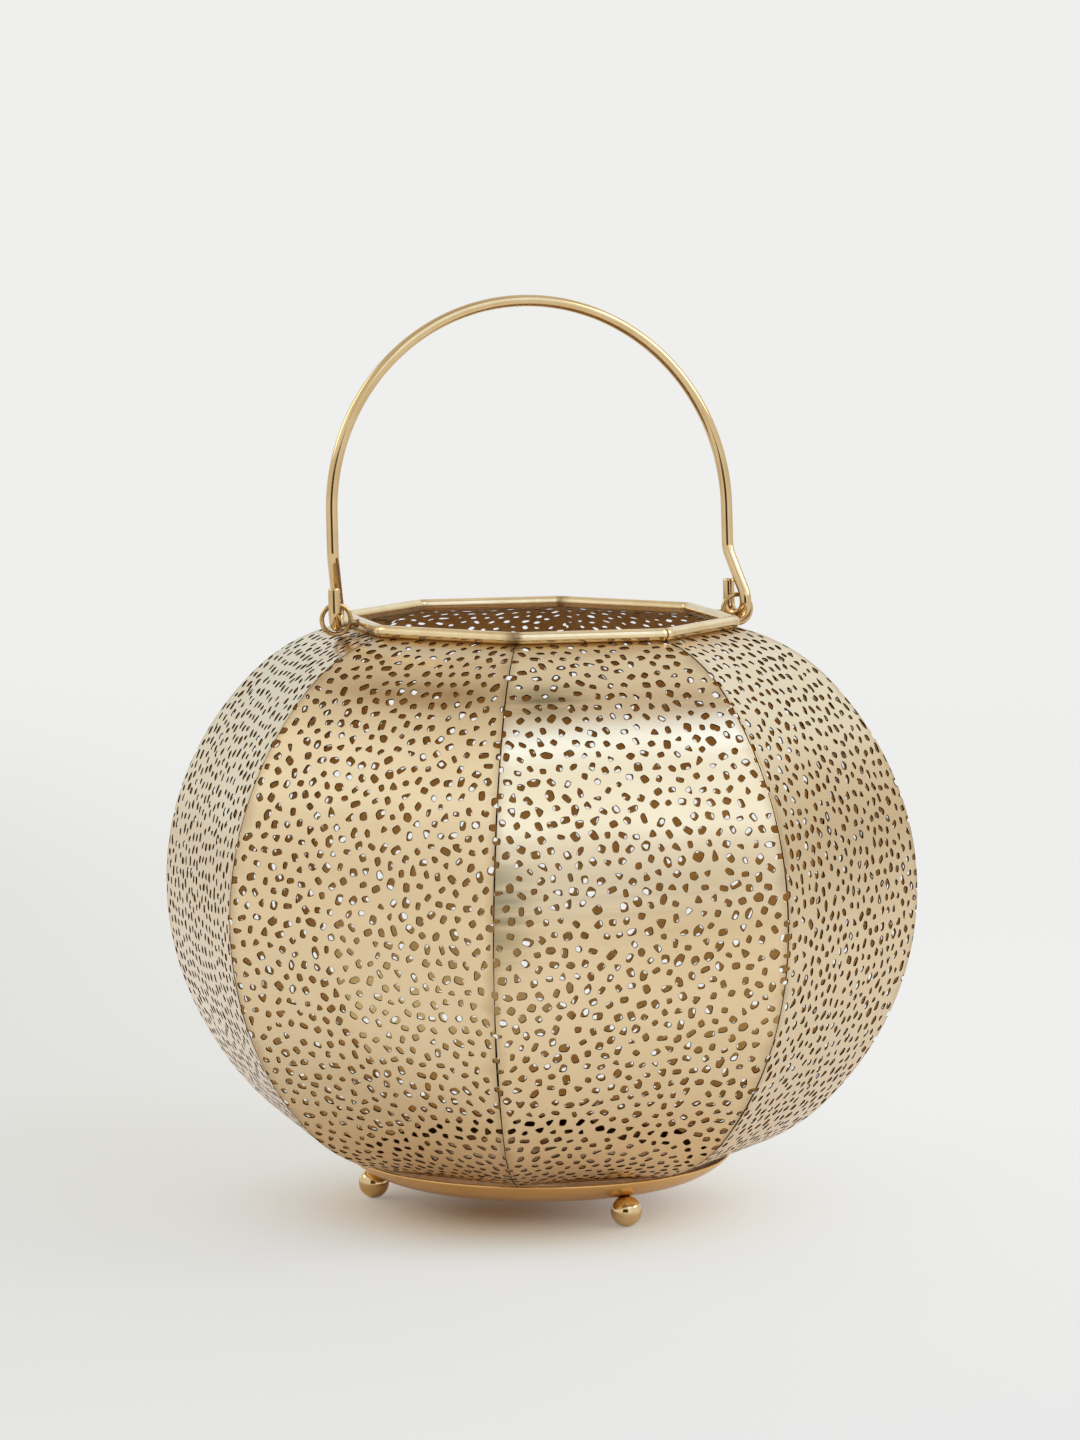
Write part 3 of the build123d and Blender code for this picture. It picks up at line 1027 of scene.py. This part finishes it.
def rounded(points, radius, steps):
    """A run of straight lines in a plane with its inner corners rounded."""
    points = [Vector(p) for p in points]
    line = [points[0]]
    for before, corner, after in zip(points, points[1:], points[2:]):
        back, on = (before - corner).normalized(), (after - corner).normalized()
        half = back.angle(on) / 2
        middle = corner + (back + on).normalized() * (radius / sin(half))
        start = corner + back * (radius / tan(half)) - middle
        turn = (pi - 2 * half) * (1 if start.cross(on) > 0 else -1)
        for n in range(steps + 1):
            line.append(middle + Matrix.Rotation(turn * n / steps, 2) @ start)
    return [*line, points[-1]]


def bail(finishes):
    """One bent wire, hooked through both rings."""
    tip = Vector((-sin(hook_turn), cos(hook_turn))) * hook_radius
    arch_radius = hypot(ring_x, tip.y)
    arch_height = hinge_height + bail_top_rise - arch_radius
    turn_height = hook_clearance + bail_wire / 2 + hook_radius - ring_radius + ring_wire / 2

    def hook(side):
        """The wire at one end, from its tip round the ring and up to the arch."""
        drop = (hook_tip_rise - turn_height) / hook_tip_steps
        flat = [(-hook_radius, hook_tip_rise - drop * n) for n in range(hook_tip_steps)]
        flat += arc((0, turn_height), hook_radius, pi, 2 * pi, hook_steps)
        neck = [
            (hook_radius, turn_height),
            (hook_radius, hook_neck_low),
            (-hook_radius, hook_neck_high),
            (-hook_radius, arch_height - ring_height),
        ]
        flat += [tuple(p) for p in rounded(neck, hook_bend_radius, hook_bend_steps)][1:]
        across = Vector((-tip.x, -side * tip.y, 0)) / hook_radius
        return [Vector((side * ring_x, 0, ring_height + y)) + across * x for x, y in flat]

    along = Vector((ring_x, tip.y, 0)).normalized()
    bend = arc((0, 0), arch_radius, 0, pi, arch_steps)
    arch = [Vector((tip.x, 0, arch_height + y)) + along * x for x, y in bend]
    hinge = Matrix.Translation((0, 0, hinge_height))
    swing = hinge @ Matrix.Rotation(-bail_lean, 4, "X") @ hinge.inverted()
    path = [swing @ p for p in hook(1)[:-1] + arch + hook(-1)[::-1][1:]]
    radii = [bail_wire / 2] * len(path)
    for _ in range(2):
        run = (path[1] - path[0]).normalized()
        path = [path[0] + run * gap * bail_wire for gap, _ in wire_ends] + path[1:]
        radii = [bail_wire / 2 * share for _, share in wire_ends] + radii[1:]
        path, radii = path[::-1], radii[::-1]
    tube("wire_bail", path, radii, finishes, "bail", "bail")


# Stage


def toward(azimuth, elevation):
    """The direction of a place in the room, from the lantern."""
    azimuth, elevation = radians(azimuth), radians(elevation)
    return Vector((cos(azimuth) * cos(elevation), sin(azimuth) * cos(elevation), sin(elevation)))


def floor_finish():
    """Pale floor that keeps the lantern's shade and fades into the plain background, with a painted
    warm bounce round the foot, painted shadow on the left and painted light on the right, and
    painted light in front in what metal shows of it.
    """
    finish = new_finish("pale_floor")
    kinds = ("Is Camera Ray", "Is Glossy Ray", "Is Transmission Ray")
    seen, glossy, through = (finish.node("LightPath", {}, {}, out=kind) for kind in kinds)
    spot = finish.place()
    across, away = (finish.node("SeparateXYZ", {}, {0: spot}, out=axis) for axis in (0, 1))

    def distance(middle):
        return finish.vector("DISTANCE", spot, middle, out=1)

    def plain(middle, near, shares):
        """How far the plain colour takes over, close to a middle and well away from it."""
        reach = distance(middle)
        return shares[0] + shares[1] * reach.between(*near) + shares[2] * reach.between(*fade_reach)

    plain_seen = plain(seen_middle, seen_reach, seen_shares)
    plain_mirrored = plain(mirrored_middle, mirrored_reach, mirrored_shares)
    share = seen * plain_seen + (glossy + through).clamp() * plain_mirrored
    # Painted warm bounce: the floor's own colour is warmer round the foot
    floor = finish.mix(distance((0, 0, 0)).between(*warm_bounce_reach), painted_warm_bounce, floor_colour)
    # Painted shadow to the left and painted light to the right, in what shows of the floor plainly
    beside = finish.mix(across.between(*left_to_right), left_floor_painted_shadow, right_floor_painted_light)
    table = finish.mix(away.between(*near_to_beside), near_floor, beside)
    table = finish.mix(distance(seen_middle).between(*background_reach), table, background)
    # Painted light: what metal shows of the floor is lighter in front
    mirrored = finish.mix(away.between(*mirrored_front_to_side), mirrored_front, mirrored_side)
    colour = finish.mix(seen, mirrored, table)
    glow = finish.node("Emission", {}, {"Color": colour, "Strength": 1.0})
    return finish.done(finish.node("MixShader", {}, {0: share, 1: finish.matt(floor), 2: glow}))


def stage_piece(name, points, faces, finish):
    """A mesh that is not part of the lantern."""
    mesh = bpy.data.meshes.new(name)
    mesh.from_pydata(points, [], faces)
    mesh.materials.append(finish)
    made = bpy.data.objects.new(name, mesh)
    bpy.context.scene.collection.objects.link(made)
    return made


def floor():
    """A wide round floor."""
    points = [(0, 0, 0)]
    for radius in floor_rings:
        for n in range(floor_sides):
            angle = 2 * pi * n / floor_sides
            points.append((radius * cos(angle), radius * sin(angle), 0))
    faces = [(0, 1 + n, 1 + (n + 1) % floor_sides) for n in range(floor_sides)]
    for low in range(1, 1 + floor_sides * (len(floor_rings) - 1), floor_sides):
        high = low + floor_sides
        for n in range(floor_sides):
            after = (n + 1) % floor_sides
            faces.append((low + n, high + n, high + after, low + after))
    stage_piece("floor", points, faces, floor_finish())


def card():
    """A low brown card in front of the lantern, which only polished metal shows."""
    out = toward(card_azimuth, 0) * card_distance
    across = toward(card_azimuth + 90, 0) * card_width / 2
    up = Vector((0, 0, card_height))
    corners = [out - across, out + across, out + across + up, out - across + up]
    finish = new_finish("brown_card")
    finish.done(finish.matt((*card_colour, 1)))
    made = stage_piece("brown_card", [tuple(c) for c in corners], [(0, 1, 2, 3)], finish.owner)
    made.visible_camera = False


def room():
    """Soft light from all round, a little warmer and dimmer overhead, behind a plain background."""
    world = bpy.data.worlds.new("room")
    finish = Finish(world)
    seen = finish.node("LightPath", {}, {}, out="Is Camera Ray")
    way = finish.node("TexCoord", {}, {}, out=0)
    up = finish.node("SeparateXYZ", {}, {0: way}, out=2)
    sky = finish.mix(up.between(*sky_range), low_sky, high_sky)
    for azimuth, elevation, core, edge, gain in glows:
        near = finish.vector("DOT_PRODUCT", way, toward(azimuth, elevation), out=1)
        near = near.between(cos(radians(edge)), cos(radians(core)))
        sky = finish.node("VectorMath", {"operation": "MULTIPLY_ADD"}, {0: near, 1: gain, 2: sky})
    shown = finish.mix(seen, sky, background)
    finish.done(finish.node("Background", {}, {"Color": shown, "Strength": 1.0}), "World")
    bpy.context.scene.world = world


def softbox(name, azimuth, elevation, distance, width, height, radiance, colour):
    """A soft lamp that faces the lantern, as bright as a surface of that radiance."""
    light = bpy.data.lights.new(name, "AREA")
    light.shape = "RECTANGLE"
    light.size, light.size_y = width, height
    light.energy = radiance * pi * width * height
    light.color = colour
    made = bpy.data.objects.new(name, light)
    bpy.context.scene.collection.objects.link(made)
    out = toward(azimuth, elevation)
    made.location = Vector(lamp_target) + out * distance
    made.rotation_euler = out.to_track_quat("Z", "Y").to_euler()


def camera():
    """The photograph's viewpoint."""
    data = bpy.data.cameras.new("camera")
    data.sensor_fit = "VERTICAL"
    data.sensor_height = camera_film
    data.lens = camera_lens
    made = bpy.data.objects.new("camera", data)
    made.location = camera_place
    made.rotation_euler = (camera_tilt, 0, camera_turn)
    bpy.context.scene.collection.objects.link(made)
    bpy.context.scene.camera = made


bpy.context.scene.view_settings.view_transform = "Standard"

sheet = [sheet_finish(), inside_finish()]
rim = [wire_finish("polished_rim_brass", rim_brass, rim_roughness)]
for number in range(1, gore_count + 1):
    gore(number, sheet)
for number in range(1, gore_count + 1):
    rim_rod(number, rim)
dish([dish_finish()])
balls, screws = [ball_finish()], screw_finish()
for number in range(1, foot_count + 1):
    foot(number, balls)
    for slot in frame["nodes"][f"foot_screw_{number}"].material_slots:
        slot.material = screws
rings = [wire_finish("dulled_ring_brass", ring_brass, ring_roughness)]
for name, side in (("ring_right", 1), ("ring_left", -1)):
    ring(name, side, rings)
    ring_stem(name, side, rings)
bail([wire_finish("polished_wire_brass", bail_brass, bail_roughness)])
floor()
card()
room()
for lamp in lamps:
    softbox(*lamp)
camera()
